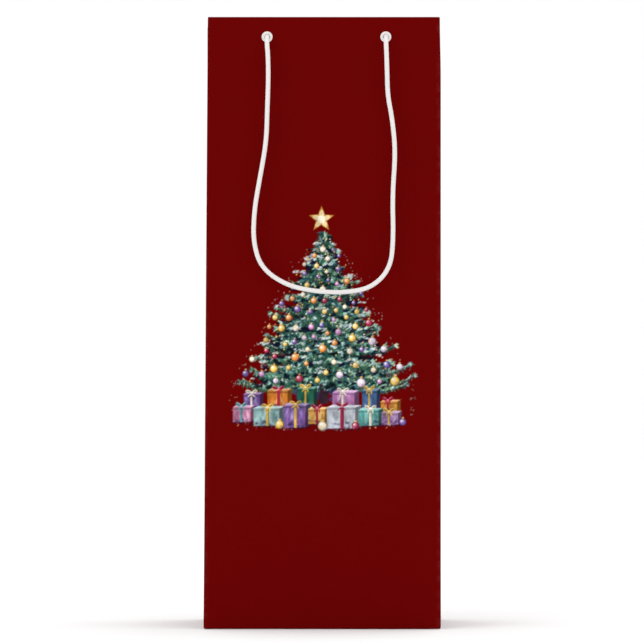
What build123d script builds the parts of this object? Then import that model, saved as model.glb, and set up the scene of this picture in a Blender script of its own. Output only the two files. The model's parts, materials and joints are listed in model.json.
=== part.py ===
from build123d import *
import math
import os

# A tall paper carrier bag for one wine bottle, with two cord handles.
# Millimetres. The origin is the centre of the base, +Z is up, +X is to the right as one faces
# the bag's front, and the front faces -Y. Left and right in the names are as seen from the front.

# Paper shell: one laminated sheet, named here by the panels between its creases
bag_width = 128.0
bag_depth = 89.0
bag_height = 330.0
paper = 0.35
hem_height = 40.0  # top edge turned in and glued
seam_width = 15.0  # glue flap inside the back panel, at its right edge
flap_overlap = 12.0  # how far each long bottom flap passes the middle of the base
end_flap_gap = 14.0  # between the ends of the two short bottom flaps

# Reinforcing cards inside the turned-in edge, front and back
card_thickness = 0.8
card_drop_clear = 1.0  # card's lower edge to the hem's
card_end_clear = 3.0  # card's ends to the side walls

# Loose base board
board_thickness = 1.2
board_rest_gap = 0.3  # the glued flaps keep it from lying dead flat
board_side_clear = 1.0  # to the front and back hems that it is lifted between
board_end_clear = 4.0  # to the side hems, where the side creases lean in

# Handle cord
cord_diameter = 2.5
cord_stand_off = 9.0  # from the face of the bag to the hanging cord's centreline
stub_gap = 0.5  # between the cord's exit and the leg that swings on it
knot_radius = 3.7
knot_length = 6.3
cut_end_length = 8.0  # cord left beyond the knot
cut_end_lean = 0.35  # how far the cut end leans inwards for each unit that it drops

# Eyelets
eyelet_pitch = 64.0
eyelet_set_over = 2.3  # from the middle of each face to the pair's middle, to the right as one faces it
eyelet_drop = 10.8  # from the top edge of the bag to the eyelets' centres
bore_clear = 0.3  # cord to eyelet bore
barrel_wall = 0.5
hole_clear = 0.05  # eyelet barrel to the punched hole
flange_width = 0.95  # beyond the barrel, outside the bag
flange_thickness = 0.5
curl_width = 0.7  # beyond the barrel, rolled over inside the bag
curl_thickness = 0.6
eyelet_rounding = 0.2

# The cord's route from the left eyelet to the right one, in the plane that it hangs in: how far to
# the right of the pair's middle, and how far below the eyelets. Its two ends are at the eyelets.
cord_route = [
    (-31.4, 8.5),
    (-31.2, 21.0),
    (-31.8, 39.5),
    (-32.3, 57.0),
    (-35.8, 76.5),
    (-38.8, 93.5),
    (-39.4, 110.5),
    (-35.2, 124.4),
    (-22.4, 133.6),
    (-7.0, 137.2),
    (10.0, 138.0),
    (24.5, 135.2),
    (34.2, 125.0),
    (36.0, 109.5),
    (35.4, 86.0),
    (37.1, 62.0),
    (35.3, 44.5),
    (32.9, 30.5),
    (32.6, 18.5),
    (32.3, 8.0),
]
arc_share = 0.45  # of the shorter run at a point, taken by the arc that rounds it

# Sizes that follow
inner_width = bag_width - 2 * paper
inner_depth = bag_depth - 2 * paper
wall_stack = 2 * paper + card_thickness
hem_gap = bag_depth - 2 * wall_stack
eyelet_height = bag_height - eyelet_drop
cord_radius = cord_diameter / 2
end_rounding = 0.9 * cord_radius  # of the swinging legs' upper ends
bore_radius = cord_radius + bore_clear
barrel_radius = bore_radius + barrel_wall
hole_radius = barrel_radius + hole_clear
flange_radius = barrel_radius + flange_width
curl_radius = barrel_radius + curl_width
base_stack = 3 * paper

os.makedirs("parts", exist_ok=True)


def save(piece, label):
    piece.part.label = label
    export_step(piece.part, f"parts/{label}.step")


def punch_eyelet_holes():
    # These sketches are seen from inside the bag, so a hole set over to the right has a lower X.
    for across in (-1, 1):
        with Locations((across * eyelet_pitch / 2 - eyelet_set_over, eyelet_height)):
            Circle(hole_radius, mode=Mode.SUBTRACT)


# Front and back: each has its panel, a card behind the top edge, and the edge turned in over the
# card. The sketch plane of a face has its local Y up, and its normal points into the bag.
for side, out in (("front", -1), ("back", 1)):
    face = Plane(origin=(0, out * bag_depth / 2, 0), x_dir=(out, 0, 0), z_dir=(0, -out, 0))

    with BuildPart() as panel:
        with BuildSketch(face):
            Rectangle(bag_width, bag_height, align=(Align.CENTER, Align.MIN))
            punch_eyelet_holes()
        extrude(amount=paper)
    save(panel, f"{side}_panel")

    with BuildPart() as card:
        with BuildSketch(face.offset(paper)):
            with Locations((0, bag_height - paper)):
                Rectangle(
                    inner_width - 2 * card_end_clear,
                    hem_height - paper - card_drop_clear,
                    align=(Align.CENTER, Align.MAX),
                )
            punch_eyelet_holes()
        extrude(amount=card_thickness)
    save(card, f"{side}_card")

    with BuildPart() as hem:
        with BuildSketch(face.offset(paper + card_thickness)):
            with Locations((0, bag_height)):
                Rectangle(inner_width, hem_height, align=(Align.CENTER, Align.MAX))
            punch_eyelet_holes()
        extrude(amount=paper)
        with BuildSketch(face.offset(paper)):
            with Locations((0, bag_height)):
                Rectangle(inner_width, paper, align=(Align.CENTER, Align.MAX))
        extrude(amount=card_thickness)
    save(hem, f"{side}_hem")

# Sides: each gusset has a crease up its middle, which parts it into a front and a rear half.
for hand, across in (("left", -1), ("right", 1)):
    face = Plane(origin=(across * bag_width / 2, 0, 0), x_dir=(0, -across, 0), z_dir=(-across, 0, 0))

    for half, out in (("front", -1), ("rear", 1)):
        with BuildPart() as gusset:
            with BuildSketch(face):
                with Locations((-across * out * inner_depth / 4, 0)):
                    Rectangle(inner_depth / 2, bag_height, align=(Align.CENTER, Align.MIN))
            extrude(amount=paper)
        save(gusset, f"{hand}_gusset_{half}")

    with BuildPart() as side_hem:
        with BuildSketch(face.offset(paper)):
            with Locations((0, bag_height)):
                Rectangle(hem_gap, hem_height, align=(Align.CENTER, Align.MAX))
        extrude(amount=paper)
    save(side_hem, f"{hand}_hem")

# The glue flap continues the right gusset past the rear corner, inside the back panel.
with BuildPart() as seam:
    with BuildSketch(Plane.XY.offset(base_stack)):
        with Locations((inner_width / 2, inner_depth / 2)):
            Rectangle(seam_width, paper, align=(Align.MAX, Align.MAX))
    extrude(amount=bag_height - hem_height - base_stack)
save(seam, "seam_flap")

# Bottom: the short flaps fold in first and lie on top. The back flap folds under them and the
# front flap under that. Both long flaps have their corners folded away at 45 degrees.
for hand, across in (("left", -1), ("right", 1)):
    with BuildPart() as end_flap:
        with BuildSketch(Plane.XY.offset(2 * paper)):
            with Locations((across * (inner_width + end_flap_gap) / 4, 0)):
                Rectangle((inner_width - end_flap_gap) / 2, inner_depth)
        extrude(amount=paper)
    save(end_flap, f"bottom_{hand}_flap")

for side, out, level in (("back", 1, paper), ("front", -1, 0)):
    flap_depth = inner_depth / 2 + flap_overlap
    root = out * inner_depth / 2
    tip = root - out * flap_depth
    with BuildPart() as long_flap:
        with BuildSketch(Plane.XY.offset(level)):
            with Locations((0, (root + tip) / 2)):
                Rectangle(inner_width, flap_depth)
            for across in (-1, 1):
                corner = across * inner_width / 2
                with BuildLine():
                    Polyline(
                        (corner, root),
                        (corner, tip),
                        (corner - across * flap_depth, tip),
                        close=True,
                    )
                make_face(mode=Mode.SUBTRACT)
        extrude(amount=paper)
    save(long_flap, f"bottom_{side}_flap")

# The board lies loose on the glued bottom and lifts out between the hems.
with BuildPart() as board:
    with BuildSketch(Plane.XY.offset(base_stack + board_rest_gap)):
        Rectangle(
            inner_width - 2 * paper - 2 * board_end_clear,
            hem_gap - 2 * board_side_clear,
        )
    extrude(amount=board_thickness)
save(board, "base_board")

# At each of the four holes: the eyelet, the cord through it, and the knot that stops the cord.
for side, out in (("front", -1), ("back", 1)):
    for hand, across in (("left", -1), ("right", 1)):
        eyelet_x = across * eyelet_pitch / 2 - out * eyelet_set_over
        centre = Vector(eyelet_x, out * bag_depth / 2, eyelet_height)
        outwards = Vector(0, out, 0)
        half_section = Plane(origin=centre, x_dir=(1, 0, 0), z_dir=(0, 0, out))
        knot_face = wall_stack + curl_thickness

        with BuildPart() as eyelet:
            with BuildSketch(half_section) as ring:
                with BuildLine():
                    Polyline(
                        (bore_radius, flange_thickness),
                        (flange_radius, flange_thickness),
                        (flange_radius, 0),
                        (barrel_radius, 0),
                        (barrel_radius, -wall_stack),
                        (curl_radius, -wall_stack),
                        (curl_radius, -knot_face),
                        (bore_radius, -knot_face),
                        close=True,
                    )
                make_face()
                fillet(ring.vertices().group_by(Axis.Y)[-1], radius=eyelet_rounding)
                fillet(ring.vertices().group_by(Axis.Y)[0], radius=eyelet_rounding)
            revolve(axis=Axis(centre, outwards))
        save(eyelet, f"{side}_{hand}_eyelet")

        with BuildPart() as tail:
            with BuildSketch(Plane(origin=centre - outwards * knot_face, z_dir=outwards)):
                Circle(cord_radius)
            extrude(amount=knot_face + cord_stand_off - cord_radius - stub_gap)
        save(tail, f"{side}_{hand}_cord_tail")

        with BuildPart() as knot:
            with BuildSketch(half_section) as body:
                with Locations((0, -knot_face)):
                    Rectangle(knot_radius, knot_length, align=(Align.MIN, Align.MAX))
                fillet(body.vertices().group_by(Axis.X)[-1], radius=0.3 * knot_length)
            revolve(axis=Axis(centre, outwards))
            middle = centre - outwards * (knot_face + knot_length / 2)
            with BuildSketch(Plane(origin=middle, z_dir=(0, -out * cut_end_lean, -1))):
                Circle(cord_radius)
            extrude(amount=knot_radius + cut_end_length)
        save(knot, f"{side}_{hand}_knot")

# Handle cords outside the bag. Each hangs in an upright plane, and swings on the line through the
# centres of its two rounded ends. The back cord is the front one turned half round the bag.
for side, out in (("front", -1), ("back", 1)):
    hang = out * (bag_depth / 2 + cord_stand_off)
    ends = [(-eyelet_pitch / 2, -cord_radius), (eyelet_pitch / 2, -cord_radius)]
    route = [ends[0]] + cord_route + [ends[1]]
    points = [Vector(-out * (x + eyelet_set_over), hang, eyelet_height - drop) for x, drop in route]
    runs = [b - a for a, b in zip(points, points[1:])]
    radii = [
        arc_share * min(a.length, b.length) / math.tan(math.radians(a.get_angle(b) / 2))
        for a, b in zip(runs, runs[1:])
    ]
    with BuildPart() as handle:
        with BuildLine() as line:
            FilletPolyline(*points, radius=radii)
        path = line.wires()[0]
        with BuildSketch(Plane(origin=points[0], z_dir=runs[0])):
            Circle(cord_radius)
        sweep(path=path)
        fillet(handle.edges().sort_by(Axis.Z)[-2:], radius=end_rounding)
    full_volume = math.pi * cord_radius**2 * path.length
    print(side, "cord outside the bag", round(path.length, 1), "mm")
    print("  arc radii", [round(r, 1) for r in radii])
    print("  runs", [round(r.length, 1) for r in runs])
    print("  volume over section times length", round(handle.part.volume / full_volume, 4))
    save(handle, f"{side}_handle_cord")
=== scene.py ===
import json
import math
import random

import bmesh
import bpy
import numpy as np
from mathutils import Matrix, Vector


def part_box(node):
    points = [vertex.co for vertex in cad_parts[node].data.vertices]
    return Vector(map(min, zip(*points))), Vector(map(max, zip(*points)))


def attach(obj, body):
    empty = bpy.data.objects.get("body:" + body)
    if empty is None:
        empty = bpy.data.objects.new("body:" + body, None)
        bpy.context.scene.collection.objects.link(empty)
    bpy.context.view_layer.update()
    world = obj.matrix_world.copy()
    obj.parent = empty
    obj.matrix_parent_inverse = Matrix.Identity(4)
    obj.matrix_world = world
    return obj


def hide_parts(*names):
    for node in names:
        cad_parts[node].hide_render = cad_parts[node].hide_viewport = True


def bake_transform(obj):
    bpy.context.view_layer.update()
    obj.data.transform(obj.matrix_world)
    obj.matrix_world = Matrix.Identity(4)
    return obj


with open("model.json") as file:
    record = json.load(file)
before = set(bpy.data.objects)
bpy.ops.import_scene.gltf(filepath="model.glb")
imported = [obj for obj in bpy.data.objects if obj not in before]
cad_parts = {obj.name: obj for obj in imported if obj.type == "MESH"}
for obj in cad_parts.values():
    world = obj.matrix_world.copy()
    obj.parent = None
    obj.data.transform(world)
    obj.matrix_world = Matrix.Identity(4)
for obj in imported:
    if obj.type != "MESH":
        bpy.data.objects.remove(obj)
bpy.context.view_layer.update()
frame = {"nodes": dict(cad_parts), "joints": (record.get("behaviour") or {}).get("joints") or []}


# ---------------------------------------------------------------------------------------------
# Paper shell. One sheet of laminated art paper, printed outside and bare inside, creased, folded
# round a block and glued. Its top edge is turned in over a stiff card at the front and the back,
# and the sides keep the set of their creases.

half_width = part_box("front_panel")[1].x
half_depth = -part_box("front_panel")[0].y
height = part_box("front_panel")[1].z
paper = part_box("front_panel")[1].y + half_depth
hem_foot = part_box("front_hem")[0].z
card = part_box("front_card")[1].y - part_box("front_card")[0].y
eyelet_height = sum(corner.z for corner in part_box("front_left_eyelet")) / 2
pair_left, pair_right = (sum(corner.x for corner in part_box(f"front_{hand}_eyelet")) / 2
                         for hand in ("left", "right"))
pair_middle = (pair_left + pair_right) / 2
eyelet_across = (pair_right - pair_left) / 2

crease_radius = 0.0007  # of the sheet's middle layer at a fold
glue_line = 0.00005  # between the card and the paper on either side of it
foot_lip = 0.0004  # flat strip at the foot, where the walls pass into the bottom
side_set = 0.0022  # how far the middle of a side leans in
corner_lean = 0.0023  # of the front left corner at the mouth
corner_pinch = 0.0005  # of the front right corner at the mouth
panel_bow = 0.0007  # of the front and the back, outwards at half height
ripple = 0.00012  # slight waves over the whole sheet
hole_cover = 0.0009  # how far an eyelet's flange laps over the edge of its hole
crease_mark, slant_mark = 0.0007, 0.0008  # half the width of the wear along a crease
handling_wear = 0.28  # of a crease's wear, on the upright corners and the top edge

PRINT_RED = (100, 0, 0)


def linear(colour):
    """A colour named 0 to 255 as a printer would, as the values that a shader takes."""
    return tuple(c / 3294.6 if c < 10.3 else ((c / 255 + 0.055) / 1.055) ** 2.4 for c in colour)


def ease(t):
    t = np.clip(t, 0.0, 1.0)
    return t * t * (3 - 2 * t)


def settle(places):
    """Moves points of a bag with dead flat walls to where the folded paper really stands."""
    x, y, z = places.T
    across, deep, up = x / half_width, y / half_depth, z / height
    at_side = ease((np.abs(across) - 0.55) / 0.45) * np.sign(x)
    above_fold = ease((z - half_depth * (1 - np.abs(deep))) / 0.06)
    centre_set = side_set * np.clip(1 - np.abs(deep), 0, 1) * above_fold
    lean = corner_lean * up * (1 - deep) / 2 * (across < 0)
    pinch = corner_pinch * ease((z - 0.9 * height) / (0.1 * height)) * (across > 0)
    bulge = panel_bow * (1 - across**2) * np.sin(math.pi * np.clip(up * 1.1, 0, 1)) ** 2
    wave = ripple * np.sin(31 * x + 17 * z) * np.sin(23 * z + 1.3) * np.clip(1 - across**4, 0, 1)
    moved = places.copy()
    moved[:, 0] -= at_side * (centre_set + lean + pinch)
    moved[:, 1] += np.sign(y) * ease((np.abs(deep) - 0.6) / 0.3) * (bulge + wave * (up < 0.85))
    return moved


def settle_mesh(mesh):
    places = np.empty(len(mesh.vertices) * 3)
    mesh.vertices.foreach_get("co", places)
    mesh.vertices.foreach_set("co", settle(places.reshape(-1, 3)).ravel())
    mesh.update()


def slice_at(bm, direction, places):
    for place in places:
        cut = Vector(direction) * place
        bmesh.ops.bisect_plane(bm, geom=bm.verts[:] + bm.edges[:] + bm.faces[:], plane_co=cut,
                               plane_no=direction)


def rim(bm, level):
    return [e for e in bm.edges if e.is_boundary and all(abs(v.co.z - level) < 1e-6 for v in e.verts)]


def strip_from(bm, edges):
    """Draws a new strip of faces from these edges. Gives its far vertices and its far edges."""
    drawn = bmesh.ops.extrude_edge_only(bm, edges=edges)["geom"]
    kinds = bmesh.types.BMVert, bmesh.types.BMEdge
    return [[g for g in drawn if isinstance(g, kind)] for kind in kinds]


def turn_in(bm, edges, inward, rise):
    """Draws the next strip of paper from an open rim: inwards by (x, y), and up or down."""
    verts, far_edges = strip_from(bm, edges)
    half = [max(abs(v.co[i]) for v in verts) for i in (0, 1)]
    shrink = [(half[i] - inward[i]) / half[i] for i in (0, 1)]
    bmesh.ops.scale(bm, vec=(shrink[0], shrink[1], 1), verts=verts)
    bmesh.ops.translate(bm, vec=(0, 0, rise), verts=verts)
    return far_edges


def piece(name, bm, *finishes):
    """Makes a named object at the origin from a bmesh, with its finishes in order."""
    mesh = bpy.data.meshes.new(name)
    bm.to_mesh(mesh)
    bm.free()
    made = bpy.data.objects.new(name, mesh)
    bpy.context.scene.collection.objects.link(made)
    for finish in finishes:
        mesh.materials.append(finish)
    return made


def round_off(made, degrees):
    """Shades a piece smooth, apart from the edges that are sharper than this."""
    made.data.shade_smooth()
    made.data.set_sharp_from_angle(angle=math.radians(degrees))


def wire(tree, kind, inputs, **settings):
    """Adds a shader node. An input takes a plain value, or another node's output."""
    node = tree.nodes.new(kind)
    for key, value in settings.items():
        setattr(node, key, value)
    for key, value in inputs.items():
        if isinstance(value, bpy.types.NodeSocket):
            tree.links.new(value, node.inputs[key])
        else:
            node.inputs[key].default_value = value
    return node


def reckon(tree, operation, *values):
    """Adds a shader sum, named as the Math node names it."""
    return wire(tree, "ShaderNodeMath", dict(enumerate(values)), operation=operation).outputs[0]


def mix(tree, factor, first, second, blend="MIX"):
    inputs = {0: factor, 6: first, 7: second}
    return wire(tree, "ShaderNodeMix", inputs, data_type="RGBA", blend_type=blend).outputs[2]


def noise(tree, place, scale, detail):
    inputs = {"Vector": place, "Scale": scale, "Detail": detail}
    return wire(tree, "ShaderNodeTexNoise", inputs).outputs[0]


def span(tree, value, low, high, start=0.0, stop=1.0):
    """Stretches a value that runs from start to stop, so that it runs from low to high."""
    return wire(tree, "ShaderNodeMapRange", {0: value, 1: start, 2: stop, 3: low, 4: high}).outputs[0]


def emboss(tree, surface, relief, strength, depth):
    bump = wire(tree, "ShaderNodeBump", {"Strength": strength, "Distance": depth, "Height": relief})
    tree.links.new(bump.outputs[0], surface.inputs["Normal"])


def new_finish(name, roughness, specular):
    finish = bpy.data.materials.new(name)
    finish.use_nodes = True
    surface = finish.node_tree.nodes["Principled BSDF"]
    surface.inputs["Roughness"].default_value = roughness
    surface.inputs["Specular IOR Level"].default_value = specular
    return finish, finish.node_tree, surface


def line_mask(tree, distance, reach):
    """1 on a line, falling to 0 at this distance from it."""
    near = reckon(tree, "DIVIDE", reckon(tree, "ABSOLUTE", distance), reach)
    return reckon(tree, "MAXIMUM", reckon(tree, "SUBTRACT", 1.0, near), 0.0)


def fold_marks(tree, place):
    """Where the sheet was creased: the middle of each side, the slanting folds from the bottom
    corners, and the level fold across the back and the rear half of each side. The upright
    corners and the top edge are worn too, more faintly."""
    side_band, back_band = 0.006, 0.002  # near enough to a side or the back to be on it
    axes = wire(tree, "ShaderNodeSeparateXYZ", {0: place}).outputs
    deep = reckon(tree, "ABSOLUTE", axes["Y"])
    on_side = reckon(tree, "GREATER_THAN", reckon(tree, "ABSOLUTE", axes["X"]), half_width - side_band)
    on_back = reckon(tree, "GREATER_THAN", axes["Y"], half_depth - back_band)
    behind = reckon(tree, "MAXIMUM", on_back,
                    reckon(tree, "MULTIPLY", on_side, reckon(tree, "GREATER_THAN", axes["Y"], 0.0)))
    above = reckon(tree, "GREATER_THAN", axes["Z"], half_depth)
    middle = reckon(tree, "MULTIPLY", line_mask(tree, axes["Y"], crease_mark), above)
    from_slant = reckon(tree, "SUBTRACT", reckon(tree, "ADD", axes["Z"], deep), half_depth)
    slant = line_mask(tree, from_slant, slant_mark)
    level = line_mask(tree, reckon(tree, "SUBTRACT", axes["Z"], half_depth), crease_mark)
    sides = reckon(tree, "MULTIPLY", on_side, reckon(tree, "MAXIMUM", middle, slant))
    creased = reckon(tree, "MAXIMUM", sides, reckon(tree, "MULTIPLY", behind, level))
    from_side = reckon(tree, "SUBTRACT", reckon(tree, "ABSOLUTE", axes["X"]), half_width)
    from_face = reckon(tree, "SUBTRACT", deep, half_depth)
    corner = reckon(tree, "MULTIPLY", line_mask(tree, from_side, 0.003),
                    line_mask(tree, from_face, 0.0011))
    top = line_mask(tree, reckon(tree, "SUBTRACT", axes["Z"], height), 0.0005)
    handled = reckon(tree, "MULTIPLY", reckon(tree, "MAXIMUM", corner, top), handling_wear)
    return reckon(tree, "MAXIMUM", creased, handled)


def printed_finish(name, picture=""):
    """Red ink under a satin film. The picture's own colours stand in for the red where it has them."""
    finish, tree, surface = new_finish(name, 0.46, 0.02)
    place = tree.nodes.new("ShaderNodeTexCoord").outputs["Object"]
    red = (*linear(PRINT_RED), 1)
    ink = wire(tree, "ShaderNodeAttribute", {}, attribute_name=picture).outputs[0] if picture else red
    cloud = span(tree, noise(tree, place, 28.0, 4.0), 0.955, 1.03)
    tooth = span(tree, noise(tree, place, 2600.0, 3.0), 0.91, 1.08, 0.3, 0.7)
    shade = reckon(tree, "MULTIPLY", cloud, tooth)
    grey = wire(tree, "ShaderNodeCombineColor", {0: shade, 1: shade, 2: shade}).outputs[0]
    colour = mix(tree, 1.0, ink, grey, "MULTIPLY")
    marks = fold_marks(tree, place)
    worn = span(tree, noise(tree, place, 260.0, 6.0), 0.0, 1.0, 0.42, 0.68)
    rubbed = reckon(tree, "MULTIPLY", reckon(tree, "MULTIPLY", marks, worn), 0.2)
    colour = mix(tree, rubbed, colour, (*linear((190, 120, 116)), 1))
    tree.links.new(colour, surface.inputs["Base Color"])
    gloss = span(tree, noise(tree, place, 240.0, 3.0), 0.40, 0.52)
    tree.links.new(gloss, surface.inputs["Roughness"])
    fibre = reckon(tree, "MULTIPLY", noise(tree, place, 1600.0, 2.0), 0.25)
    emboss(tree, surface, reckon(tree, "SUBTRACT", fibre, marks), 0.5, 0.00012)
    return finish


def bare_finish(name, light, dark, scale):
    """Unprinted fibre: paper, card or board, by its two colours and the size of its flecks."""
    finish, tree, surface = new_finish(name, 0.85, 0.25)
    place = tree.nodes.new("ShaderNodeTexCoord").outputs["Object"]
    stretch = wire(tree, "ShaderNodeMapping", {0: place, 3: (1.0, 1.0, 2.2)}).outputs[0]
    fleck = noise(tree, stretch, scale, 6.0)
    tone = span(tree, fleck, 0.0, 1.0, 0.35, 0.65)
    colour = mix(tree, tone, (*linear(dark), 1), (*linear(light), 1))
    tree.links.new(colour, surface.inputs["Base Color"])
    emboss(tree, surface, fleck, 0.3, 0.00008)
    return finish


printed = printed_finish("printed_film")
bare_paper = bare_finish("bare_paper", (240, 238, 232), (230, 227, 219), 900.0)

middle_x = half_width - paper / 2
middle_y = half_depth - paper / 2
shell = bmesh.new()
bmesh.ops.create_cube(shell, size=2.0)
wall = (height - paper - 2 * crease_radius) / 2
lower_rim, upper_rim = height / 2 - wall, height / 2 + wall
bmesh.ops.scale(shell, vec=(middle_x, middle_y, wall), verts=shell.verts)
bmesh.ops.translate(shell, vec=(0, 0, height / 2), verts=shell.verts)
ends = [f for f in shell.faces if abs(f.normal.z) > 0.5]
bmesh.ops.delete(shell, geom=ends, context="FACES_ONLY")
corners = [e for e in shell.edges if not e.is_boundary]
bmesh.ops.bevel(shell, geom=corners, offset=crease_radius, offset_type="OFFSET", affect="EDGES",
                segments=4, profile=0.5, material=-1)
slice_at(shell, (1, 0, 0), [half_width * i / 13 for i in range(-12, 13)])
slice_at(shell, (0, 1, 0), [half_depth * i / 8 for i in range(-7, 8)] + [-0.0004, 0.0004])
slice_at(shell, (0, 0, 1), [height * i / 66 for i in range(1, 66)])

# The turned-in edge runs over the top in a half circle and down inside. It clears the card at
# the front and the back, and lies on the wall at the sides.
hem_in = (paper + glue_line, paper + card + 2 * glue_line)
edges = rim(shell, upper_rim)
fold_steps = 6
for step in range(fold_steps):
    before, after = (math.pi * k / fold_steps for k in (step, step + 1))
    share = (math.cos(before) - math.cos(after)) / 2
    rise = crease_radius * (math.sin(after) - math.sin(before))
    edges = turn_in(shell, edges, (hem_in[0] * share, hem_in[1] * share), rise)
hem_steps = 8
for step in range(hem_steps):
    edges = turn_in(shell, edges, (0, 0), -(upper_rim - hem_foot) / hem_steps)

# The lower edge curls under to meet the glued bottom.
edges = rim(shell, lower_rim)
curl_steps = 3
for step in range(curl_steps):
    before, after = (math.pi / 2 * k / curl_steps for k in (step, step + 1))
    share = crease_radius * (math.cos(before) - math.cos(after))
    rise = -crease_radius * (math.sin(after) - math.sin(before))
    edges = turn_in(shell, edges, (share, share), rise)
edges = turn_in(shell, edges, (foot_lip, foot_lip), 0)

paper_shell = piece("paper_shell", shell, printed, bare_paper)
settle_mesh(paper_shell.data)


def punch(made, radius):
    """Gives a folded sheet its thickness and punches the four eyelet holes through every layer."""
    bm = bmesh.new()
    for out in (-1, 1):
        for side in (-1, 1):
            hole = (side * eyelet_across - out * pair_middle, out * half_depth, eyelet_height)
            turned = Matrix.Translation(hole) @ Matrix.Rotation(math.pi / 2, 4, "X")
            bmesh.ops.create_cone(bm, cap_ends=True, segments=40, radius1=radius, radius2=radius,
                                  depth=half_depth, matrix=turned)
    cutter = piece("punch", bm, bare_paper, bare_paper)
    thick = made.modifiers.new("thickness", "SOLIDIFY")
    thick.thickness = paper
    thick.offset = 0
    thick.use_even_offset = True
    thick.material_offset = 1
    thick.material_offset_rim = 1
    cut = made.modifiers.new("holes", "BOOLEAN")
    cut.operation = "DIFFERENCE"
    cut.solver = "EXACT"
    cut.object = cutter
    bpy.context.view_layer.update()
    done = made.evaluated_get(bpy.context.evaluated_depsgraph_get())
    mesh = bpy.data.meshes.new_from_object(done)
    mesh.name = made.name
    made.modifiers.clear()
    made.data = mesh
    bpy.data.objects.remove(cutter)


punch(paper_shell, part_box("front_right_eyelet")[1].x - pair_right - hole_cover)
round_off(paper_shell, 35)
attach(paper_shell, "bag")
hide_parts("front_panel", "back_panel", "left_gusset_front", "left_gusset_rear",
            "right_gusset_front", "right_gusset_rear", "front_hem", "back_hem", "left_hem", "right_hem")


# ---------------------------------------------------------------------------------------------
# Glue seam. The sheet's spare strip, bare side inwards, glued down inside the back panel. Its
# edges are only just broken, as a blade leaves them.

edge_share = 0.22  # of the thickness of a plate, broken off its edges


def plate(name, low, high, cuts, finish):
    """A thin plate between two corners, cut into cells and with its edges just broken."""
    bm = bmesh.new()
    bmesh.ops.create_cube(bm, size=1.0)
    bmesh.ops.scale(bm, vec=high - low, verts=bm.verts)
    bmesh.ops.translate(bm, vec=(high + low) / 2, verts=bm.verts)
    broken = edge_share * min(high - low)
    bmesh.ops.bevel(bm, geom=bm.edges[:], offset=broken, offset_type="OFFSET", affect="EDGES",
                    segments=2, profile=0.5, material=-1)
    for axis, count in enumerate(cuts):
        direction = tuple(float(axis == i) for i in range(3))
        steps = [low[axis] + (high[axis] - low[axis]) * k / count for k in range(1, count)]
        slice_at(bm, direction, steps)
    return piece(name, bm, finish)


seam_flap = plate("seam_flap_glued", *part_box("seam_flap"), (4, 1, 40), bare_paper)
settle_mesh(seam_flap.data)
round_off(seam_flap, 40)
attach(seam_flap, "bag")
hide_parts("seam_flap")


# ---------------------------------------------------------------------------------------------
# Glued bottom. Two short flaps folded in first, then the back flap under them, then the front
# flap under that. The last two have their corners folded away at 45 degrees. All are glued flat.

def bottom_flap(name, node, mitred):
    """A flap on its CAD place. A mitred one has its two free corners folded away."""
    low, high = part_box(node)
    bm = bmesh.new()
    bmesh.ops.create_grid(bm, x_segments=30, y_segments=20, size=1.0)
    reach = (high - low) / 2
    bmesh.ops.scale(bm, vec=(reach.x - paper, reach.y - paper, 1), verts=bm.verts)
    bmesh.ops.translate(bm, vec=((low.x + high.x) / 2, (low.y + high.y) / 2, (low.z + high.z) / 2),
                        verts=bm.verts)
    if mitred:
        root = math.copysign(max(abs(low.y), abs(high.y)), low.y + high.y)
        for side in (-1, 1):
            out = Vector((side, -math.copysign(1, root), 0))
            bmesh.ops.bisect_plane(bm, geom=bm.verts[:] + bm.edges[:] + bm.faces[:],
                                   plane_co=(side * high.x, root, 0), plane_no=out, clear_outer=True)
    made = piece(name, bm, printed, bare_paper)
    thick = made.modifiers.new("thickness", "SOLIDIFY")
    thick.thickness = paper
    thick.offset = 0
    thick.material_offset = 1
    thick.material_offset_rim = 1
    for polygon in made.data.polygons:
        if polygon.normal.z > 0:
            polygon.flip()
    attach(made, "bag")
    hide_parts(node)


for place, mitred in (("left", False), ("right", False), ("back", True), ("front", True)):
    bottom_flap(f"bottom_{place}_flap_glued", f"bottom_{place}_flap", mitred)


# ---------------------------------------------------------------------------------------------
# Stiffening cards. Grey board strips glued inside the turned-in edge, so that the eyelets and the
# cord pull on board and not on paper alone.

grey_card = bare_finish("grey_card", (168, 160, 147), (120, 113, 103), 1400.0)
for node in ("front_card", "back_card"):
    frame["nodes"][node].data.materials.clear()
    frame["nodes"][node].data.materials.append(grey_card)


# ---------------------------------------------------------------------------------------------
# Printed picture. A decorated fir tree with parcels, in loose brush dabs, printed with the red.
# It is a thin layer of ink that lies on the front panel, painted here dab by dab.

picture_cell = 0.0004  # the finest detail that the mesh holds
picture_cells = (276, 312)  # across and up
picture_width, picture_height = (n * picture_cell for n in picture_cells)
picture_left = -0.0565
picture_foot = 0.1065
ink_proud = 0.00003  # of the paper's face
ink_sunk = 0.0001  # into the paper, where the layer's back lies

across_mm = np.arange(picture_cells[0] + 1) * picture_cell * 1000
up_mm = np.arange(picture_cells[1] + 1) * picture_cell * 1000
cells_per_mm = 0.001 / picture_cell
canvas = np.empty((len(up_mm), len(across_mm), 3))
canvas[:] = np.array(PRINT_RED) / 255
painted = np.zeros(canvas.shape[:2])
brush = random.Random(24)


def window(x, z, reach):
    """The part of the canvas within reach of a point, as slices across and up."""
    spans = [(int((c - reach) * cells_per_mm), int((c + reach) * cells_per_mm) + 2) for c in (x, z)]
    return tuple(slice(max(start, 0), max(stop, 0)) for start, stop in spans)


def lay(i, j, mask, colour):
    """Lays a colour over a part of the canvas, as thickly as the mask says."""
    canvas[j, i] += (np.array(colour) / 255 - canvas[j, i]) * mask[..., None]
    painted[j, i] = np.maximum(painted[j, i], mask)


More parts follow.
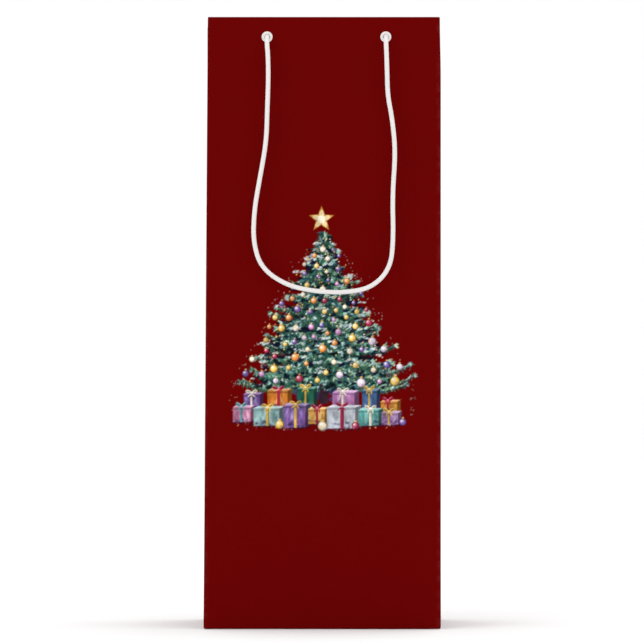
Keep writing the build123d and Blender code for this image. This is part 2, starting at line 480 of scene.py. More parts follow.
def dab(x, z, long, wide, turn, colour, strength=1.0, soft=0.35):
    """One touch of the brush: a soft-edged oval, in millimetres and radians."""
    i, j = window(x, z, long / 2 + soft)
    dx, dz = across_mm[None, i] - x, up_mm[j, None] - z
    along = dx * math.cos(turn) + dz * math.sin(turn)
    beside = dz * math.cos(turn) - dx * math.sin(turn)
    round_way = np.sqrt((along / (long / 2)) ** 2 + (beside / (wide / 2)) ** 2)
    lay(i, j, np.clip((1 - round_way) * wide / 2 / soft + 0.5, 0, 1) * strength, colour)


def facet(points, colour, strength=1.0, soft=0.3):
    """A flat patch with straight sides. The points go round it anticlockwise."""
    middle = np.mean(points, axis=0)
    i, j = window(*middle, max(math.dist(p, middle) for p in points) + soft)
    inside = np.full((len(up_mm[j]), len(across_mm[i])), 1e9)
    for (ax, az), (bx, bz) in zip(points, points[1:] + points[:1]):
        run = math.dist((ax, az), (bx, bz))
        gap = ((bx - ax) * (up_mm[j, None] - az) - (bz - az) * (across_mm[None, i] - ax)) / run
        inside = np.minimum(inside, gap)
    lay(i, j, np.clip(inside / soft + 0.5, 0, 1) * strength, colour)


def tint(colour, amount):
    """Towards white above 0, towards black below."""
    target = 255 if amount > 0 else 0
    return tuple(c + (target - c) * abs(amount) for c in colour)


# Places in the picture are in millimetres from its lower left corner.
TREE_X = 57.4
BOUGH_LOW, BOUGH_HIGH = 27.0, 107.0
TREE_HALF = 45.0  # from the trunk to the lowest tips
TREE_DARKS = [(4, 12, 22), (5, 18, 26), (8, 12, 36), (6, 24, 26), (12, 14, 42)]
TREE_GREENS = [(34, 84, 78), (46, 102, 88), (62, 122, 104), (80, 136, 116), (52, 98, 80),
               (58, 106, 120), (88, 124, 88)]
TREE_LIGHTS = [(140, 180, 158), (164, 198, 180), (122, 164, 162), (170, 194, 150), (196, 214, 200),
               (150, 178, 188)]
TREE_DUSK = [(44, 50, 92), (60, 66, 108), (30, 34, 70)]
SNOW = [(218, 226, 220), (196, 212, 208), (178, 194, 204)]
BAUBLES = [(226, 184, 74), (232, 216, 180), (110, 80, 150), (214, 198, 214), (176, 34, 66),
           (226, 186, 88), (196, 132, 184), (222, 136, 56), (86, 76, 148), (234, 222, 196)]


def tree_half(z):
    up = (z - BOUGH_LOW) / (BOUGH_HIGH - BOUGH_LOW)
    return TREE_HALF * max(1 - up, 0.0) ** 0.92 + 1.6


def paint_trunk():
    """The trunk, and the dusk behind the parcels."""
    for _ in range(90):
        dab(TREE_X + brush.triangular(-30, 30), brush.uniform(17, 30), brush.uniform(4, 9),
            brush.uniform(2.5, 4.5), brush.uniform(-0.2, 0.2), brush.choice(TREE_DUSK), 0.75)
    facet([(TREE_X - 2.6, 15), (TREE_X + 2.6, 15), (TREE_X + 1.8, 30), (TREE_X - 1.8, 30)], (48, 30, 42))


def paint_hollow(level, half):
    """The dark between one tier of boughs and the next."""
    for _ in range(int(half * 1.7) + 4):
        dab(TREE_X + half * 0.86 * brush.triangular(-1, 1), level + brush.uniform(-3.5, 3.0),
            min(brush.uniform(3, 6.5), 0.5 * half + 1), brush.uniform(1.4, 3.0),
            brush.uniform(-0.5, 0.5), brush.choice(TREE_DARKS), 0.85)


def paint_bough(foot, tip, greens, light):
    """One bough from the trunk to its tip. Its needles are dark below and catch the light above."""
    (fx, fz), (tx, tz) = foot, tip
    length = math.dist(foot, tip)
    heading = math.atan2(tz - fz, tx - fx)
    steps = max(int(length / 0.75), 5)
    for k in range(steps):
        s = (k + brush.random()) / steps
        x = fx + (tx - fx) * s
        z = fz + (tz - fz) * s - 0.12 * length * math.sin(math.pi * s) + 0.1 * length * (s**4 - s)
        for side in (-1, 1):
            turn = heading + side * brush.uniform(0.35, 1.2)
            long = brush.uniform(1.6, 3.6) * (1.1 - 0.3 * s)
            colour = brush.choice(greens)
            if math.sin(turn) < 0:
                colour = tint(colour, -brush.uniform(0.1, 0.5))
            elif brush.random() < 0.2 + 0.6 * s * light:
                colour = brush.choice(TREE_LIGHTS)
            dab(x + 0.4 * long * math.cos(turn), z + 0.4 * long * math.sin(turn), long,
                brush.uniform(0.5, 1.0), turn, colour, 0.92)
    for _ in range(7):
        turn = heading + brush.uniform(-1.3, 1.3)
        long = brush.uniform(1.2, 2.8)
        dab(tx + 0.4 * long * math.cos(turn), tz + 0.4 * long * math.sin(turn), long,
            brush.uniform(0.45, 0.85), turn, brush.choice(greens + TREE_LIGHTS), 0.9)


def paint_snow(x, z, long):
    for _ in range(int(long * 2.2)):
        dab(x + brush.uniform(-long, long) / 2, z + brush.uniform(-0.4, 0.9), brush.uniform(0.8, 2.0),
            brush.uniform(0.4, 0.85), brush.uniform(-0.6, 0.6), brush.choice(SNOW), 0.85)


def paint_tree():
    """Tier by tier from the lowest, so that each hangs over the dark of the one below."""
    tiers = 14
    for tier in range(tiers):
        level = BOUGH_LOW + (BOUGH_HIGH - BOUGH_LOW) * (tier / tiers) ** 0.96
        half = tree_half(level)
        paint_hollow(level + 2.0, tree_half(level + 6))
        boughs = max(int(half / 1.8), 6)
        order = list(range(boughs))
        brush.shuffle(order)
        for k in order:
            aside = -1 + 2 * (k + brush.uniform(0.1, 0.9)) / boughs
            foot = (TREE_X + aside * half * 0.15, level + 6.0)
            tip = (TREE_X + aside * half * brush.uniform(0.82, 1.1),
                   level - 4.0 + 4.5 * aside**2 + brush.uniform(-2.8, 2.8))
            greens = brush.sample(TREE_GREENS, 3)
            paint_bough(foot, tip, greens, brush.uniform(0.3, 1.0))
            if brush.random() < 0.36:
                s = brush.uniform(0.6, 0.95)
                paint_snow(foot[0] * (1 - s) + tip[0] * s, foot[1] * (1 - s) + tip[1] * s,
                           brush.uniform(2, 5))
        for _ in range(int(half * 1.3)):
            dab(TREE_X + half * brush.uniform(-0.8, 0.8), level + brush.uniform(-4, 3),
                brush.uniform(1.5, 4.5), brush.uniform(0.8, 2.0), brush.uniform(-0.7, 0.7),
                brush.choice(TREE_DARKS), 0.8)
    for _ in range(34):
        level = brush.uniform(BOUGH_LOW, BOUGH_HIGH - 12)
        paint_snow(TREE_X + tree_half(level) * brush.uniform(-0.9, 0.9), level, brush.uniform(2.5, 7))
    for _ in range(9):
        dab(TREE_X + brush.uniform(-1.6, 1.6), BOUGH_HIGH + brush.uniform(-4, 1),
            brush.uniform(2, 4), 0.8, math.pi / 2 + brush.uniform(-0.6, 0.6),
            brush.choice(TREE_GREENS + TREE_LIGHTS), 0.9)


def paint_bauble(x, z, size, colour):
    dab(x, z, 2 * size, 2 * size, 0, tint(colour, -0.5))
    dab(x - 0.10 * size, z + 0.10 * size, 1.72 * size, 1.72 * size, 0, colour)
    dab(x + 0.35 * size, z - 0.45 * size, 0.9 * size, 0.5 * size, 0.7, (120, 90, 130), 0.35)
    dab(x - 0.25 * size, z + 0.28 * size, 1.1 * size, 1.0 * size, 0.6, tint(colour, 0.45), 0.9)
    dab(x - 0.38 * size, z + 0.42 * size, 0.5 * size, 0.4 * size, 0.6, (255, 252, 244), 0.95, 0.25)
    dab(x, z + 1.2 * size, 0.6 * size, 0.5 * size, 0, (206, 172, 104))


def paint_baubles():
    """Hung all over the tree, and none so near the next that they would touch."""
    hung = []
    for _ in range(1500):
        z = brush.uniform(BOUGH_LOW - 1, BOUGH_HIGH - 8)
        x = TREE_X + tree_half(z) * brush.uniform(-0.96, 0.96)
        size = brush.uniform(1.2, 2.35) * (1.1 - 0.4 * (z - BOUGH_LOW) / (BOUGH_HIGH - BOUGH_LOW))
        if all(math.dist((x, z), (a, b)) > 1.35 * (size + c) + 1.5 for a, b, c in hung):
            hung.append((x, z, size))
            paint_bauble(x, z, size, brush.choice(BAUBLES))
    for _ in range(120):
        z = brush.uniform(BOUGH_LOW, BOUGH_HIGH - 3)
        x = TREE_X + tree_half(z) * brush.uniform(-0.95, 0.95)
        dab(x, z, 0.75, 0.75, 0, brush.choice([(250, 214, 120), (250, 238, 210), (232, 150, 76)]), 0.85)


def paint_star(x, z, size):
    """Five points, each a light half and a dark half, round a pale heart."""
    outer = [(x + size * math.sin(2 * math.pi * k / 5), z + size * math.cos(2 * math.pi * k / 5))
             for k in range(5)]
    inner = [(x + 0.43 * size * math.sin(2 * math.pi * (k + 0.5) / 5),
              z + 0.43 * size * math.cos(2 * math.pi * (k + 0.5) / 5)) for k in range(5)]
    for k in range(5):
        facet([(x, z), inner[k], outer[k]], (210, 164, 74))
        facet([(x, z), outer[k], inner[k - 1]], (176, 120, 38))
    for point in outer:
        dab(x + 0.32 * (point[0] - x), z + 0.32 * (point[1] - z), 0.75 * size, 0.36 * size,
            math.atan2(point[1] - z, point[0] - x), (244, 228, 186), 0.8, 0.5)
    dab(x, z, 0.58 * size, 0.58 * size, 0, (246, 238, 214), 0.9, 0.7)


def paint_parcel(x, z, wide, tall, colour, ribbon):
    """A wrapped box seen a little from its right: front, side, lid, band and bow, over a wash."""
    back = 0.2 * wide
    deep = tint(colour, -0.14)
    dab(x + 0.55 * wide, z + 0.4, 1.25 * wide, 2.4, 0, (30, 16, 40), 0.55, 1.0)
    facet([(x, z), (x + wide, z + 0.3), (x + wide, z + tall), (x, z + tall)], deep, 0.95, 0.5)
    facet([(x + wide, z + 0.3), (x + wide + back, z + 1.6), (x + wide + back, z + tall + 1.1),
           (x + wide, z + tall)], tint(colour, -0.52), 0.95, 0.5)
    facet([(x, z + tall), (x + wide, z + tall), (x + wide + back, z + tall + 1.1),
           (x + back, z + tall + 1.4)], tint(colour, 0.32), 0.95, 0.4)
    for _ in range(int(wide * 2.4)):
        dab(x + brush.uniform(0.08, 0.92) * wide, z + brush.uniform(0.1, 0.85) * tall,
            tall * brush.uniform(0.2, 0.55), brush.uniform(0.6, 1.9), 1.5 + brush.uniform(-0.5, 0.5),
            tint(colour, brush.uniform(-0.6, 0.6)), 0.4, 0.6)
    for _ in range(int(wide * 0.6)):
        dab(x + brush.uniform(0, 1) * wide, z + brush.uniform(0, 0.3) * tall, brush.uniform(1.5, 3.5),
            brush.uniform(0.6, 1.4), brush.uniform(-0.6, 0.6), (40, 26, 62), 0.45, 0.6)
    band = max(0.12 * wide, 1.0)
    centre = x + wide * brush.uniform(0.4, 0.6)
    facet([(centre - band / 2, z), (centre + band / 2, z), (centre + band / 2, z + tall),
           (centre - band / 2, z + tall)], tint(ribbon, -0.08), 0.95)
    facet([(centre + band / 4, z), (centre + band / 2, z), (centre + band / 2, z + tall),
           (centre + band / 4, z + tall)], tint(ribbon, -0.45), 0.8)
    facet([(x, z + tall - 1.3), (x + wide, z + tall - 1.2), (x + wide, z + tall - 0.6),
           (x, z + tall - 0.7)], tint(colour, -0.55), 0.55)
    for side in (-1, 1):
        spread = brush.uniform(0.25, 0.75)
        dab(centre + side * 1.7, z + tall + 1.5, 3.3, 1.7, side * spread, tint(ribbon, -0.1))
        dab(centre + side * 1.9, z + tall + 1.6, 1.7, 0.6, side * spread, tint(ribbon, -0.6), 0.8)
        dab(centre + side * 1.5, z + tall + 2.1, 1.6, 0.5, side * spread, tint(ribbon, 0.5), 0.7)
        dab(centre + side * 1.2, z + tall - 0.7, 2.4, 0.7, side * -spread * 2, ribbon, 0.9)
    dab(centre, z + tall + 0.9, 1.2, 1.2, 0, tint(ribbon, 0.35))


def paint_parcels():
    """A heap of parcels, the far ones first: left edge, foot, width, height, paper and ribbon."""
    gold, wine, cream, sea = (222, 178, 74), (164, 30, 66), (236, 228, 206), (96, 160, 168)
    heap = [(14, 11, 9, 9, (112, 84, 158), cream), (27, 12, 11, 10, (222, 134, 50), wine),
            (43, 10, 9, 13, (38, 104, 82), gold), (62, 11, 12, 10, (190, 128, 184), cream),
            (78, 10, 8, 12, (70, 108, 158), gold), (88, 8, 9, 8, (216, 150, 62), wine),
            (8, 5, 10, 8, (206, 140, 176), sea), (19.5, 3, 14, 9.5, (150, 196, 196), gold),
            (35.5, 2, 12, 12, (128, 96, 168), gold), (49, 4, 9, 8, (230, 176, 84), wine),
            (59, 1.5, 15.5, 11.5, (196, 206, 216), wine), (76, 3, 11, 8.5, (92, 166, 160), cream),
            (88.5, 3.5, 9, 6.5, (182, 146, 200), gold)]
    for parcel in heap:
        paint_parcel(*parcel)
    fallen = [(33.6, 3.6, 2.3, 0), (56.8, 2.8, 2.6, 1), (74.6, 3.0, 2.0, 4), (100, 5.0, 1.9, 2)]
    for x, z, size, colour in fallen:
        paint_bauble(x, z, size, BAUBLES[colour])
    for _ in range(26):
        dab(brush.uniform(8, 100), brush.uniform(0.5, 3.5), brush.uniform(0.5, 1.4),
            brush.uniform(0.4, 0.9), brush.uniform(0, 3),
            brush.choice([(110, 150, 160), (180, 150, 180), (214, 180, 110)]), 0.7)


def paint_splashes():
    """Drops of paint beside the tree, fewer with the distance."""
    for _ in range(120):
        side = brush.choice([-1, 1])
        z = brush.uniform(8, 98)
        x = TREE_X + side * (tree_half(max(z, BOUGH_LOW)) + brush.expovariate(0.6))
        dab(x, z, brush.uniform(0.3, 0.9), brush.uniform(0.3, 0.7), brush.uniform(0, 3),
            brush.choice(TREE_LIGHTS), 0.6)


paint_trunk()
paint_tree()
paint_baubles()
paint_star(TREE_X - 1.3, 114.4, 7.1)
paint_splashes()
paint_parcels()

# Pigment lies unevenly: broad washes of light and dark, and a fine grain, where there is paint.
wash_depth, grain_depth = 0.05, 0.035
wash = sum(np.sin(across_mm[None, :] * a + up_mm[:, None] * b + c) for a, b, c in
           [(0.31, 0.17, 0.4), (-0.22, 0.41, 2.1), (0.63, -0.37, 1.2), (0.9, 0.8, 4.0)])
grain = np.random.default_rng(5).normal(0, 1, painted.shape)
uneven = 1 + painted * (wash_depth * wash + grain_depth * grain)
canvas = np.clip(canvas * uneven[..., None], 0, 1)
# The same colours as the values that a shader takes.
inks = np.where(canvas < 0.04045, canvas / 12.92, ((canvas + 0.055) / 1.055) ** 2.4)

ink = bmesh.new()
bmesh.ops.create_grid(ink, x_segments=picture_cells[0], y_segments=picture_cells[1], size=0.5)
bmesh.ops.scale(ink, vec=(picture_width, picture_height, 1), verts=ink.verts)
bmesh.ops.rotate(ink, matrix=Matrix.Rotation(math.pi / 2, 3, "X"), verts=ink.verts)
bmesh.ops.translate(ink, vec=(picture_left + picture_width / 2, -half_depth - ink_proud,
                              picture_foot + picture_height / 2), verts=ink.verts)
# Its hidden back is sunk in the paper, in a few rings that follow the panel's bow.
picture_middle = Vector((picture_left + picture_width / 2, 0, picture_foot + picture_height / 2))
border = [e for e in ink.edges if e.is_boundary]
for size, depth in ((1, ink_proud + ink_sunk), (0.8, 0), (0.75, 0), (2 / 3, 0), (0.5, 0)):
    verts, border = strip_from(ink, border)
    bmesh.ops.translate(ink, vec=(0, depth, 0), verts=verts)
    bmesh.ops.scale(ink, vec=(size, 1, size), space=Matrix.Translation(-picture_middle), verts=verts)
bmesh.ops.contextual_create(ink, geom=border)
bmesh.ops.recalc_face_normals(ink, faces=ink.faces)
picture = piece("front_panel_picture", ink, printed_finish("printed_picture", "picture_ink"))
places = np.empty(len(picture.data.vertices) * 3)
picture.data.vertices.foreach_get("co", places)
places = places.reshape(-1, 3)
column = np.clip(np.rint((places[:, 0] - picture_left) / picture_cell), 0, picture_cells[0]).astype(int)
row = np.clip(np.rint((places[:, 2] - picture_foot) / picture_cell), 0, picture_cells[1]).astype(int)
shades = np.ones((len(places), 4))
shades[:, :3] = inks[row, column]
colours = picture.data.attributes.new("picture_ink", "FLOAT_COLOR", "POINT")
colours.data.foreach_set("color", shades.ravel())

# Its map is the picture laid flat, with the hidden back squeezed into the margin beside it.
map_span = 0.130
map_margin = 0.88
flat = picture.data.uv_layers.new(name="OFBake")
turns = np.empty(len(picture.data.loops), int)
picture.data.loops.foreach_get("vertex_index", turns)
sides = np.empty(len(picture.data.polygons), int)
picture.data.polygons.foreach_get("loop_total", sides)
face = np.repeat(np.arange(len(sides)), sides)
sunk_faces = np.unique(face[places[turns][:, 1] > -half_depth])
hidden = np.isin(face, sunk_faces)
sheet_uv = (places[turns][:, [0, 2]] - (picture_left, picture_foot)) / map_span
sheet_uv[hidden, 0] = map_margin + 0.1 * sheet_uv[hidden, 0]
flat.data.foreach_set("uv", sheet_uv.ravel())
settle_mesh(picture.data)
round_off(picture, 40)
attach(picture, "bag")


# ---------------------------------------------------------------------------------------------
# Base board. A loose rectangle of grey board that spreads the bottle's weight over the bottom.

grey_board = bare_finish("grey_board", (176, 168, 154), (134, 127, 116), 1100.0)
base_board = plate("base_board_loose", *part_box("base_board"), (12, 8, 1), grey_board)
for vert in base_board.data.vertices:
    vert.co.z += 0.0001 * math.sin(40 * vert.co.x + 1) * math.sin(50 * vert.co.y)
round_off(base_board, 40)
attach(base_board, "base_board")
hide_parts("base_board")


# ---------------------------------------------------------------------------------------------
# Eyelets. White lacquered metal, pressed in one piece: a domed flange outside, a barrel through
# the paper and card, and its inner end rolled over inside the bag.

def lacquer_finish():
    finish, tree, surface = new_finish("white_lacquer", 0.28, 0.5)
    place = tree.nodes.new("ShaderNodeTexCoord").outputs["Object"]
    dust = noise(tree, place, 1500.0, 3.0)
    colour = mix(tree, dust, (*linear((219, 217, 215)), 1), (*linear((232, 231, 229)), 1))
    tree.links.new(colour, surface.inputs["Base Color"])
    tree.links.new(span(tree, dust, 0.22, 0.38), surface.inputs["Roughness"])
    return finish


cord_radius = 0.00125
bore_clear = 0.0001  # round the cord
flange_width = 0.00095  # from the barrel's outside to the flange's edge


def eyelet(name, node, out, finish):
    """Spun from the outline of its section, as the distance from its axis and out of the face."""
    low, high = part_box(node)
    centre = Vector(((low.x + high.x) / 2, out * half_depth, (low.z + high.z) / 2))
    flange = (high.x - low.x) / 2
    inside = (half_depth - min(abs(low.y), abs(high.y)))
    bore, barrel = cord_radius + bore_clear, flange - flange_width
    section = [(bore, -inside + 0.0003), (bore, 0.0001), (bore + 0.00012, 0.00038),
               (bore + 0.00045, 0.0005), (flange - 0.00035, 0.00043),
               (flange - 0.00008, 0.00024), (flange, 0.00005),
               (flange - 0.0001, 0), (barrel, 0), (barrel, paper - inside + 0.0003),
               (flange - 0.0003, 0.00055 - inside), (flange - 0.0001, 0.0003 - inside),
               (flange - 0.0003, 0.00005 - inside), (barrel, -inside)]
    bm = bmesh.new()
    verts = [bm.verts.new(centre + Vector((r, out * h, 0))) for r, h in section]
    edges = [bm.edges.new(pair) for pair in zip(verts, verts[1:] + verts[:1])]
    bmesh.ops.spin(bm, geom=verts + edges, cent=centre, axis=(0, 1, 0), angle=2 * math.pi, steps=48,
                   use_merge=True, use_duplicate=False)
    bmesh.ops.remove_doubles(bm, verts=bm.verts, dist=1e-7)
    bmesh.ops.recalc_face_normals(bm, faces=bm.faces)
    made = piece(name, bm, finish)
    made.data.shade_smooth()
    smooth = made.modifiers.new("pressed_smooth", "SUBSURF")
    smooth.levels = 1
    smooth.render_levels = 1
    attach(made, "bag")
    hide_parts(node)


white_lacquer = lacquer_finish()
for side, out in (("front", -1), ("back", 1)):
    for hand in ("left", "right"):
        eyelet(f"{side}_{hand}_eyelet_pressed", f"{side}_{hand}_eyelet", out, white_lacquer)


# ---------------------------------------------------------------------------------------------
# Handle cords. Soft white braid, 2.5 mm thick, one length on each side of the bag. Each comes out
# through one eyelet, hangs in a loop and goes back in through the other.

stand_off = abs(frame["joints"][0]["pos_m"][1]) - half_depth
# The route from eyelet to eyelet: how far right of the pair's middle, and how far below the pair.
cord_route = [
    (-0.0314, 0.0105), (-0.0312, 0.0230), (-0.0318, 0.0395), (-0.0323, 0.0570), (-0.0358, 0.0765),
    (-0.0388, 0.0935), (-0.0394, 0.1105), (-0.0352, 0.1244), (-0.0224, 0.1336), (-0.0070, 0.1372),
    (0.0100, 0.1380), (0.0245, 0.1352), (0.0342, 0.1250), (0.0360, 0.1095), (0.0354, 0.0860),
    (0.0371, 0.0620), (0.0353, 0.0445), (0.0329, 0.0320), (0.0326, 0.0210), (0.0323, 0.0100),
]
# The end of the cord, from inside the bag to where it has turned down: out of the face, and below.
cord_exit = [(-0.0048, 0.0), (-0.0009, 0.0), (0.0049, 0.0), (0.0090, 0.0041)]

braid_strands = 12  # bumps round the cord
braid_stitch = 0.0013  # from one bump to the next along the cord
braid_groove = 0.00014  # how deep the furrows are between the bumps
rings_per_stitch = 6
rope_sides, thin_rope_sides = 48, 36


def cord_line(points, per_run):
    """The smooth line that a limp cord takes along hand-set points, as closely spaced points."""
    curve = bpy.data.curves.new("cord_line", "CURVE")
    curve.dimensions = "3D"
    spline = curve.splines.new("NURBS")
    spline.points.add(len(points) - 1)
    for held, point in zip(spline.points, points):
        held.co = (*point, 1)
    spline.order_u = 3
    spline.use_endpoint_u = True
    spline.resolution_u = per_run
    line = bpy.data.objects.new("cord_line", curve)
    bpy.context.scene.collection.objects.link(line)
    bpy.context.view_layer.update()
    mesh = bpy.data.meshes.new_from_object(line)
    path = [v.co.copy() for v in mesh.vertices]
    bpy.data.objects.remove(line)
    bpy.data.curves.remove(curve)
    bpy.data.meshes.remove(mesh)
    return path


def braid_finish():
    """Bleached white yarn, with painted shade: a little darker in the furrows between the raised
    strands.
    """
    finish, tree, surface = new_finish("white_braid", 0.78, 0.3)
    surface.inputs["Sheen Weight"].default_value = 0.25
    surface.inputs["Sheen Roughness"].default_value = 0.5
    place = tree.nodes.new("ShaderNodeTexCoord").outputs["Object"]
    raised = wire(tree, "ShaderNodeAttribute", {}, attribute_name="strand").outputs["Fac"]
    # Painted shade: the furrows between the raised strands are coloured darker than the strands.
    colour = mix(tree, raised, (*linear((210, 206, 204)), 1), (*linear((240, 237, 236)), 1))
    tree.links.new(colour, surface.inputs["Base Color"])
    emboss(tree, surface, noise(tree, place, 3800.0, 3.0), 0.4, 0.0001)
    return finish


white_braid = braid_finish()


def rope(name, path, radius, sides, closed=False, cut=False):
    """A length of braid, made straight and then laid along a line of close points. A closed one
    is joined end to end, and a cut one has its last end drawn in to a blunt tip."""
    path = np.array(path)
    gone = np.concatenate([[0], np.cumsum(np.linalg.norm(np.diff(path, axis=0), axis=1))])
    stitches = max(round(gone[-1] / braid_stitch), 1)
    rings = stitches * rings_per_stitch
    stops = np.linspace(0, gone[-1], rings + 1)
    centre = np.stack([np.interp(stops, gone, path[:, k]) for k in range(3)], axis=1)
    ahead = np.gradient(centre, axis=0)
    if closed:
        ahead[0] = ahead[-1] = centre[1] - centre[-2]
    heads = [Vector(a).normalized() for a in ahead]
    sideways = [heads[0].orthogonal().normalized()]
    for before, after in zip(heads, heads[1:]):
        sideways.append(before.rotation_difference(after) @ sideways[-1])
    if closed:
        upright = heads[0].cross(sideways[0])
        twist = math.atan2(sideways[-1].dot(upright), sideways[-1].dot(sideways[0]))
        sideways = [Matrix.Rotation(-twist * k / rings, 3, heads[k]) @ s for k, s in enumerate(sideways)]
    side_on = np.array(sideways)
    up_on = np.cross(np.array(heads), side_on)

    bm = bmesh.new()
    bmesh.ops.create_cone(bm, cap_ends=not closed, segments=sides, radius1=1, radius2=1, depth=1)
    lengthwise = [e for e in bm.edges if abs(e.verts[0].co.z - e.verts[1].co.z) > 0.5]
    bmesh.ops.subdivide_edges(bm, edges=lengthwise, cuts=rings - 1)
    made = piece(name, bm, white_braid)
    straight = np.empty(len(made.data.vertices) * 3)
    made.data.vertices.foreach_get("co", straight)
    x, y, z = straight.reshape(-1, 3).T
    ring = np.rint((z + 0.5) * rings).astype(int)
    around = np.arctan2(y, x)
    wind = math.pi * ring / rings_per_stitch
    half = braid_strands / 2
    raised = np.sqrt(np.abs(np.cos(half * around + wind) * np.cos(half * around - wind)))
    reach = radius - braid_groove * (1 - raised)
    if cut:
        from_tip = (gone[-1] - stops[ring]) / (0.55 * radius)
        reach = reach * np.sqrt(1 - 0.8 * np.clip(1 - from_tip, 0, 1) ** 2)
    laid = centre[ring] + reach[:, None] * (np.cos(around)[:, None] * side_on[ring]
                                            + np.sin(around)[:, None] * up_on[ring])
    made.data.vertices.foreach_set("co", laid.ravel())
    # The strands' rise is kept on the cord, so that the braid finish can paint shade in the furrows from
    # it.
    made.data.attributes.new("strand", "FLOAT", "POINT").data.foreach_set("value", raised)
    bm = bmesh.new()
    bm.from_mesh(made.data)
    bmesh.ops.remove_doubles(bm, verts=bm.verts, dist=1e-7)
    bmesh.ops.recalc_face_normals(bm, faces=bm.faces)
    bm.to_mesh(made.data)
    bm.free()
    made.data.shade_smooth()
    return made


def cord_point(across, out_of_face, drop, out):
    """across is from the pair's middle, to the right as one faces that side of the bag."""
    return Vector((-out * (across + pair_middle), out * (half_depth + out_of_face),
                   eyelet_height - drop))


handle_cords = {}
for side, out in (("front", -1), ("back", 1)):
    first = [cord_point(-eyelet_across, *point, out) for point in cord_exit]
    last = [cord_point(eyelet_across, *point, out) for point in reversed(cord_exit)]
    loop = [cord_point(x, stand_off, drop, out) for x, drop in cord_route]
    path = cord_line(first + loop + last, 44)
    cord = rope(f"{side}_handle_cord_braided", path, cord_radius, rope_sides)
    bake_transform(cord)
    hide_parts(f"{side}_handle_cord", f"{side}_left_cord_tail", f"{side}_right_cord_tail")
    handle_cords[side] = (cord, path)


# ---------------------------------------------------------------------------------------------
# Knots. Each end of a cord is tied in an overhand knot behind its eyelet, and cut off below it.
# The turns are pulled tight, so the cord is squeezed thinner there than in the loop.

knot_ring = 0.00175  # from the knot's middle to the middle of its turns
knot_wave = 0.00092  # how far the turns swing out and in, as they pass over each other
knot_cord = 0.00102  # the radius of the squeezed cord
knot_depth = 0.00199  # from the side of the knot on the eyelet to its middle
knot_steps = 120  # along the turns
cut_end_thickness = 0.95  # of the cord's
# The cut end: aside, further into the bag, and up, from the knot's middle.
cut_end = [(0.0, 0.0, -0.0008), (0.0, 0.0010, -0.0040), (0.0003, 0.0030, -0.0075),
           (0.0009, 0.0044, -0.0112)]


def knot(name, node, out, flip):
    """The turns of the knot, and the cord's cut end leaving it, as two ropes in one piece."""
    low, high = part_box(node)
    face = max(abs(low.y), abs(high.y))
    centre = Vector(((low.x + high.x) / 2, out * (face - knot_depth), eyelet_height))
    turns = []
    for k in range(knot_steps + 1):
        t = 2 * math.pi * k / knot_steps
        reach = knot_ring + knot_wave * math.cos(3 * t)
        turns.append(centre + Vector((flip * reach * math.cos(2 * t), -out * knot_wave * math.sin(3 * t),
                                      reach * math.sin(2 * t))))
    tied = rope(name, turns, knot_cord, thin_rope_sides, closed=True)
    route = [centre + Vector((flip * x, -out * inward, z)) for x, inward, z in cut_end]
    tail = rope(name + "_end", cord_line(route, 20), cord_radius * cut_end_thickness, thin_rope_sides,
                cut=True)
    merged = bmesh.new()
    merged.from_mesh(tied.data)
    merged.from_mesh(tail.data)
    merged.to_mesh(tied.data)
    merged.free()
    bpy.data.objects.remove(tail)
    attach(tied, "bag")
    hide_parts(node)
    return tied


for side, out in (("front", -1), ("back", 1)):
    knots = [knot(f"{side}_{hand}_knot_tied", f"{side}_{hand}_knot", out, flip)
             for hand, flip in (("left", -1), ("right", 1))]
    cord, path = handle_cords[side]


# ---------------------------------------------------------------------------------------------
# Studio. A plain white floor under an even white sky, two broad soft lights, from the upper left
# and from above, and a long lens that looks straight at the middle of the front.

# The floor runs back and curves up into the backdrop, so that no line shows between them.
sweep_near, sweep_far, sweep_half, sweep_curve = -6.0, 3.5, 6.0, 1.2
backdrop = 4.0  # straight up, above the curve
floor_gap = 0.0002  # below the bag, so that the two never share a face
sky_strength = 1.06
sweep = bmesh.new()
edge_verts = [sweep.verts.new((x, sweep_near, 0)) for x in (-sweep_half, sweep_half)]
edge = [sweep.edges.new(edge_verts)]


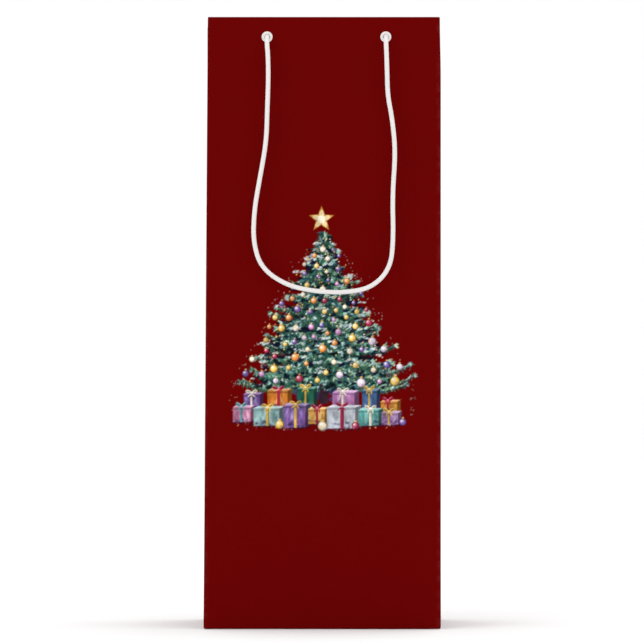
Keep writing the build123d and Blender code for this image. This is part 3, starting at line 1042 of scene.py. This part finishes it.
def pull(run, rise):
    verts, edge[:] = strip_from(sweep, edge)
    bmesh.ops.translate(sweep, vec=(0, run, rise), verts=verts)


pull(sweep_far - sweep_near, 0)
sweep_steps = 16
for k in range(sweep_steps):
    start, stop = (math.pi / 2 * n / sweep_steps for n in (k, k + 1))
    pull(sweep_curve * (math.sin(stop) - math.sin(start)),
         sweep_curve * (math.cos(start) - math.cos(stop)))
pull(0, backdrop)
bmesh.ops.recalc_face_normals(sweep, faces=sweep.faces)
floor_finish, _, floor_surface = new_finish("studio_paper", 0.9, 0.0)
floor_surface.inputs["Base Color"].default_value = (0.95, 0.95, 0.95, 1)
floor = piece("studio_floor", sweep, floor_finish)
floor.data.transform(Matrix.Translation((0, 0, -floor_gap)))
floor.data.shade_smooth()

sky = bpy.data.worlds.new("studio_sky")
sky.use_nodes = True
sky.node_tree.nodes["Background"].inputs[0].default_value = (1, 1, 1, 1)
sky.node_tree.nodes["Background"].inputs[1].default_value = sky_strength
bpy.context.scene.world = sky


def soft_light(name, place, aim, size, power):
    lamp = bpy.data.lights.new(name, "AREA")
    lamp.shape = "SQUARE"
    lamp.size = size
    lamp.energy = power
    made = bpy.data.objects.new(name, lamp)
    made.location = place
    made.rotation_euler = (Vector(aim) - Vector(place)).to_track_quat("-Z", "Y").to_euler()
    bpy.context.scene.collection.objects.link(made)


middle = Vector((0, 0, height / 2))
soft_light("key", (-1.3, -1.6, 1.7), middle, 1.1, 6.0)
soft_light("top", (0.3, 0.4, 2.2), middle, 1.4, 7.0)

shown_width = 0.3472  # across the frame, at the bag's face
camera_reach = 2.6  # from the lens to the bag's face
lens = bpy.data.cameras.new("camera")
lens.sensor_width = 36
lens.lens = lens.sensor_width * camera_reach / shown_width
lens.clip_end = 60
camera = bpy.data.objects.new("camera", lens)
camera.location = (-0.0001, -half_depth - camera_reach, height / 2 + 0.0005)
camera.rotation_euler = (math.pi / 2, 0, 0)
bpy.context.scene.collection.objects.link(camera)
bpy.context.scene.camera = camera
bpy.context.scene.view_settings.view_transform = "Standard"
